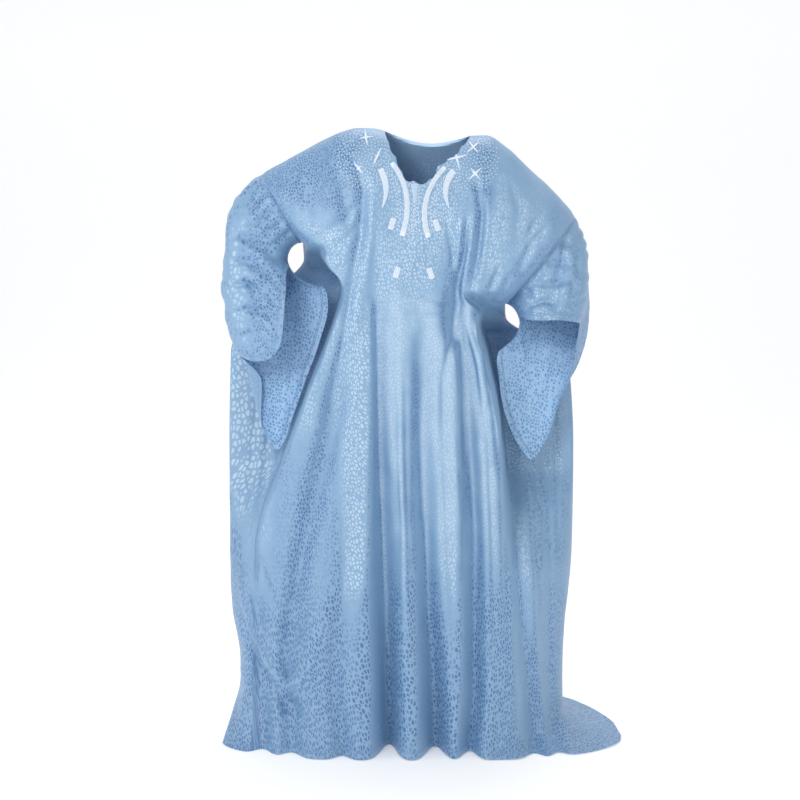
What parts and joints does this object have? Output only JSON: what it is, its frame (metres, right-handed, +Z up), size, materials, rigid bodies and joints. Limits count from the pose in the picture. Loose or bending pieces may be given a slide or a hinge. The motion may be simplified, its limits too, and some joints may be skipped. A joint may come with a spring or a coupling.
{
  "type": "kaftan dress",
  "caption": "Floor-length kaftan in light blue satin jacquard, worn form with hands on hips, wide open sleeves, a V neck with white bars and a short train.",
  "frame": {"origin": "on the shoulder line at the middle of the neck, 1.44 m above the hem, where the wearer's shoulders hold the dress up", "axes": "+Z up, +X towards the viewer's right (the wearer's left), +Y towards the wearer's back"},
  "size_m": [0.9593, 0.5506, 1.4505],
  "materials": {
    "satin_jacquard": "soft satin sheen",
    "white_embroidery": "matt thread"
  },
  "bodies": {
    "root": {"body_front": "satin_jacquard", "body_back": "satin_jacquard", "sleeve_right_arm": "satin_jacquard", "sleeve_left_arm": "satin_jacquard", "bar_long_left": "white_embroidery", "bar_long_right": "white_embroidery", "crescent_left": "white_embroidery", "crescent_right": "white_embroidery", "dash_upper_left": "white_embroidery", "dash_upper_right": "white_embroidery", "dash_lower_left": "white_embroidery", "dash_lower_right": "white_embroidery", "neck_insert": "white_embroidery"}
  },
  "joints": []
}
